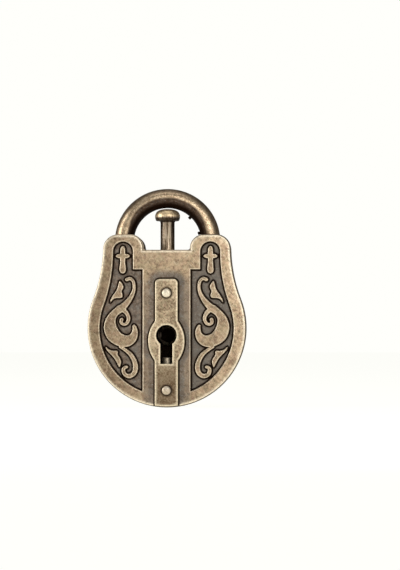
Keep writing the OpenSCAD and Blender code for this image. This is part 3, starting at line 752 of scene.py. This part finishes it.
def make_case():
    obj = cast_copy("rear_case", "case_shell", 0.4 * MM, 3)
    mark_by_shape(obj)
    x, y, z = places(obj).T / MM
    back, joint = BACK_Y / MM, JOINT_Y / MM
    outline = loops_at("rear_case", JOINT_Y)[0]
    deep = nearest(samples(outline, 2 * LINE_STEP), places(obj)[:, [0, 2]])[1] / MM
    # painted shade: the dark inside and the step beside the cover, darker on the right and at the
    # bottom; then the sunk panel of the back and the side walls
    hidden = smooth(deep, 1.5, 2.6) * (y < back - 0.8) * (z < -5)
    panel = smooth(deep, 4.2, 4.8) * (y > back - 2) * (z < -14)
    sides = 1 - smooth(np.abs(normals(obj)[:, 1]), 0.3, 0.8)
    ledge = 1 - smooth(y, joint + 0.3, joint + 1.6)
    ledge *= 0.15 + 0.65 * most(smooth(x, 4, 16), smooth(-z, 44, 58))
    mark(obj, grime_and_shade=most(read_mark(obj, "grime_and_shade"), hidden, ledge),
         patina_and_shade=0.2 + 0.8 * sides + 0.35 * panel,
         wear_and_glint=read_mark(obj, "wear_and_glint") * (1 - hidden))
    dress(obj, CASE, "case", "cast_bronze", "rear_case")


def make_shackle():
    obj = cast_copy("shackle", "shackle_rod", 0.3 * MM, 4)
    mark_by_shape(obj)
    co, normal = places(obj), normals(obj)
    # how far each place faces away from the middle of the bend, -1 to 1
    out = np.stack([co[:, 0], np.maximum(co[:, 2], 0)], 1)
    out /= np.maximum(np.linalg.norm(out, axis=1), 1e-9)[:, None]
    outward = normal[:, 0] * out[:, 0] + normal[:, 2] * out[:, 1]
    # painted shade: the rod's inner side and its outer edge are darkened, with painted shadow on
    # the inner side, which leaves a painted highlight along the front
    arch = smooth(co[:, 2] / MM, 3, 14)
    inner = smooth(-outward + 0.3 * arch, 0.02, 0.5)
    outer = 0.65 * smooth(outward, 0.4, 0.7)
    mark(obj, patina_and_shade=most(inner, outer), wear_and_glint=read_mark(obj, "wear_and_glint") * 0.6,
         grime_and_shade=most(read_mark(obj, "grime_and_shade"), smooth(-outward, 0.2, 0.7)))
    dress(obj, ROD, "shackle", "shackle_bronze", "shackle")
    pegs = bevelled_copy("stop_pegs", "stop_peg_pair", 0.25 * MM, 4)
    n = len(pegs.data.vertices)
    mark(pegs, wear_and_glint=np.zeros(n), grime_and_shade=np.full(n, 0.9), patina_and_shade=np.ones(n))
    dress(pegs, ROD, "shackle", "shackle_bronze", "stop_pegs")


def make_plunger():
    low, high = low_high("plunger")
    head, top, end = high[0] / MM, high[2] / MM, low[2] / MM
    # heights in mm: the head's widest place and underside, the foot of the stem, the neck's ends
    wide, under, shoulder, neck_top, neck_end = 10.6, 8.4, -7.2, -21.6, -23.6
    core, stem, neck = 2.0, 2.85, 1.2            # radii in mm
    corners = [(0, end, 0), (core, end, 0.3), (core, neck_end, 0.1), (neck, neck_end, 0.15),
               (neck, neck_top, 0.15), (core, neck_top, 0.1), (core, shoulder, 0.05),
               (stem, shoulder, 0.1), (stem, under - 0.5, 0.5), (stem + 0.5, under, 0.2),
               (head - 0.45, under, 0.3), (head - 0.1, wide - 1.2, 0.3), (head, wide, 0.5),
               (head - 0.5, top - 1.3, 0.6), (head - 1.6, top - 0.5, 0.8),
               (head - 3.2, top - 0.05, 0.8), (0, top, 0)]
    profile = [(r * MM, h * MM) for r, h in rounded(corners, 8)]
    bm = bmesh.new()
    lathe(bm, profile, 96)
    obj = from_bmesh("plunger_rod", bm)
    shade(obj)
    z = places(obj)[:, 2] / MM
    # painted shade: the head's lower part and the stem just under it darker, and the stem's sides
    # darkened; the head's top is rubbed and has a painted highlight
    below = 0.9 * ((1 - smooth(z, wide - 1.3, wide - 0.5)) * (z > under - 0.6))
    under_head = 0.6 * (1 - smooth(np.abs(z - under + 0.6), 0.2, 1.4))
    side = np.abs(normals(obj)[:, 0]) * (z < under) * (z > shoulder + 0.2)
    mark(obj, grime_and_shade=most(below, under_head, 0.8 * smooth(side, 0.7, 0.95)),
         patina_and_shade=0.15 + 0.85 * smooth(side, 0.5, 0.8),
         wear_and_glint=0.9 * smooth(z, wide - 0.8, wide - 0.1))
    dress(obj, STEM, "plunger", "plunger_bronze", "plunger")


def make_spring():
    low, high = low_high("plunger_spring")
    wire = 0.35 * MM
    radius = high[0] - wire
    turns, steps, sides = 5, 32, 12
    bottom, top = low[2] + wire, high[2] - wire
    bm = bmesh.new()
    rings = []
    for i in range(turns * steps + 1):
        a = 2 * math.pi * i / steps
        along = i / (turns * steps)
        share = smooth(along, 0.1, 0.9) * 0.5 + along * 0.5      # the coils lie closer at the ends
        z = bottom + (top - bottom) * share
        ring = []
        for k in range(sides):
            b = 2 * math.pi * k / sides
            r = radius + wire * math.cos(b)
            ring.append(bm.verts.new((r * math.cos(a), r * math.sin(a), z + wire * math.sin(b))))
        rings.append(ring)
    for a, b in zip(rings, rings[1:]):
        for k in range(sides):
            j = (k + 1) % sides
            bm.faces.new((a[k], b[k], b[j], a[j]))
    bm.faces.new(rings[0])
    bm.faces.new(rings[-1][::-1])
    obj = from_bmesh("plunger_coil", bm)
    shade(obj)
    dress(obj, SPRING, "case", "spring_steel", "plunger_spring")
    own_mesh(obj)


# ---- small parts that keep their CAD shape ----

def make_small_parts():
    kept = {
        "plunger_bush": BRASS, "spring_bracket": STEEL, "bracket_screws": STEEL,
        "bolt_guide_posts": STEEL, "lock_bar_guide_posts": STEEL, "leaf_spring": SPRING,
        "leaf_spring_screw": STEEL, "plunger_clip": STEEL, "drive_pin": STEEL,
        "shackle_bolt": BRASS, "bolt_nose": STEEL, "lock_bar": BRASS,
        "ward_ring": BLACK,
    }
    for node, material in kept.items():
        obj = NODES[node]
        obj.data.materials.clear()
        obj.data.materials.append(material)
        weld = obj.modifiers.new("weld", "WELD")
        weld.merge_threshold = 1e-6
        edge = obj.modifiers.new("edge", "BEVEL")
        edge.width = 0.12 * MM
        edge.segments = 2
        edge.limit_method = "ANGLE"
        shade(obj, 40)
    screws = bevelled_copy("cover_screws", "cover_screw_set", 0.08 * MM)
    mark_by_shape(screws, 0.3)
    dress(screws, CASE, "case", "steel", "cover_screws")
    pin = bevelled_copy("pivot_pin", "pivot_rivet", 0.2 * MM)
    mark_by_shape(pin, 0.3)
    dress(pin, CASE, "case", "shackle_bronze", "pivot_pin")
    bush = bevelled_copy("key_bush", "key_sleeve", 0.3 * MM, 4)
    co = places(bush)
    low, high = low_high("key_bush")
    middle = (low[2] + high[2]) / 2
    # painted glints: two bright marks at the sides of the sleeve's front rim
    sideways = np.abs(co[:, 0]) / np.maximum(np.hypot(co[:, 0], co[:, 2] - middle), 1e-9)
    front_rim = co[:, 1] < low[1] + 0.4 * MM
    clean = np.zeros(len(co))
    mark(bush, wear_and_glint=smooth(sideways, 0.95, 0.99) * front_rim, grime_and_shade=clean, patina_and_shade=clean)
    dress(bush, DARK, "case", "brass", "key_bush")
    post = bevelled_copy("ward_post", "ward_stump", 0.3 * MM)
    mark_by_shape(post, 0.2)
    # painted shadow: the stump darker below its top
    below_top = (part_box("ward_post")[1][2] - places(post)[:, 2]) / MM
    mark(post, grime_and_shade=most(read_mark(post, "grime_and_shade"), smooth(below_top, 1.6, 2.6)))
    dress(post, CAST, "case", "cast_bronze", "ward_post")


# ---- stage, lights and camera ----

def make_stage():
    """A pale floor under the lock, and a world that is white to the camera and lights the lock
    softly, most from in front and above."""
    bm = bmesh.new()
    bmesh.ops.create_grid(bm, x_segments=1, y_segments=1, size=2.0)
    floor = from_bmesh("floor", bm)
    floor.location = (0, 0, cad_bounds[0][2])
    m = Nodes("pale_floor")
    m.finish(Base_Color=linear((90, 90, 89)), Roughness=0.9,
             Emission_Color=linear((255, 255, 250)), Emission_Strength=0.97)
    floor.data.materials.append(m.material)

    world = bpy.data.worlds.new("studio")
    bpy.context.scene.world = world
    world.use_nodes = True
    tree = world.node_tree
    back = tree.nodes["Background"]
    back.inputs["Color"].default_value = (0.1, 0.1, 0.1, 1)
    seen = tree.nodes.new("ShaderNodeBackground")
    seen.inputs["Color"].default_value = linear((255, 255, 251))
    path = tree.nodes.new("ShaderNodeLightPath")
    choose = tree.nodes.new("ShaderNodeMixShader")
    place = tree.nodes.new("ShaderNodeTexCoord")
    dot = tree.nodes.new("ShaderNodeVectorMath")
    dot.operation = "DOT_PRODUCT"
    dot.inputs[1].default_value = Vector((0.3, -0.7, 0.62)).normalized()     # brightest there
    dim = tree.nodes.new("ShaderNodeMapRange")
    for name, value in (("From Min", -0.3), ("From Max", 0.9), ("To Min", 0.12), ("To Max", 1.0)):
        dim.inputs[name].default_value = value
    tree.links.new(place.outputs["Generated"], dot.inputs[0])
    tree.links.new(dot.outputs["Value"], dim.inputs[0])
    tree.links.new(dim.outputs[0], back.inputs["Strength"])
    tree.links.new(path.outputs["Is Camera Ray"], choose.inputs[0])
    tree.links.new(back.outputs[0], choose.inputs[1])
    tree.links.new(seen.outputs[0], choose.inputs[2])
    tree.links.new(choose.outputs[0], tree.nodes["World Output"].inputs[0])


def add_light(name, place, size, watts):
    """A rectangular lamp, aimed at the lock's middle and unseen by the camera."""
    aim = Vector((0, 0, -0.03))
    light = bpy.data.lights.new(name, "AREA")
    light.shape = "RECTANGLE"
    light.size, light.size_y = size
    light.energy = watts
    obj = bpy.data.objects.new(name, light)
    obj.visible_camera = False
    obj.location = place
    obj.rotation_euler = (aim - Vector(place)).to_track_quat("-Z", "Y").to_euler()
    bpy.context.scene.collection.objects.link(obj)


def make_lights():
    add_light("front", (0.1, -0.3, 0.03), (0.1, 0.1), 0.105)
    add_light("front_right", (0.17, -0.24, 0.06), (0.12, 0.2), 0.13)
    add_light("front_top", (0.02, -0.25, 0.12), (0.1, 0.1), 0.09)
    add_light("side_left", (-0.6, -0.2, 0.1), (0.4, 0.4), 2.4)
    add_light("top", (0, -0.1, 0.6), (0.5, 0.4), 0.8)


def make_camera():
    middle = Vector((0.0134, FACE_Y, -0.0178))     # of the view, on the lock's front
    away = Vector((0.0206, -0.7, -0.0192))         # from there to the camera
    view_height = 228 * MM
    film = 36                                      # mm, along the view's height
    camera = bpy.data.cameras.new("camera")
    camera.lens = film * away.length / view_height
    camera.sensor_width = film
    camera.clip_start = 0.01
    obj = bpy.data.objects.new("camera", camera)
    obj.location = middle + away
    obj.rotation_euler = (-away).to_track_quat("-Z", "Y").to_euler()
    bpy.context.scene.collection.objects.link(obj)
    bpy.context.scene.camera = obj


make_cover()
make_strap()
make_rivets()
make_case()
make_shackle()
make_plunger()
make_spring()
make_small_parts()
make_stage()
make_lights()
make_camera()
bpy.context.scene.view_settings.view_transform = "Standard"

bpy.context.view_layer.update()
